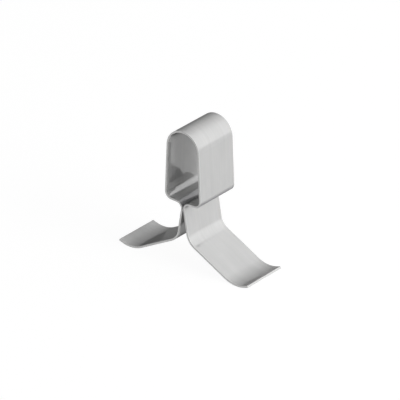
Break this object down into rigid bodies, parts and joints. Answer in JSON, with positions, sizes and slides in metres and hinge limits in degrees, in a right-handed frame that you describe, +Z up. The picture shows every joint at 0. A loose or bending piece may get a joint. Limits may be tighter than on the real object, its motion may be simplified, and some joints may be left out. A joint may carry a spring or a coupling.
{
  "type": "flat spring clip",
  "caption": "Bent flat spring steel clip: an arched loop snaps over a rail's bulb, a pinched neck grips its web, and splayed legs with upturned feet hold panels down.",
  "frame": {"origin": "on the surface that the feet stand on, midway between the feet and in the middle of the strip's width", "axes": "+X across the rail, from foot to foot; +Y along the rail, across the strip's width; +Z up, from the feet to the top of the arch"},
  "size_m": [0.0306, 0.01, 0.0278],
  "materials": {
    "spring_steel": "satin rolled strip, with brighter cut edges"
  },
  "bodies": {
    "root": {"spring_clip": "spring_steel"}
  },
  "joints": []
}
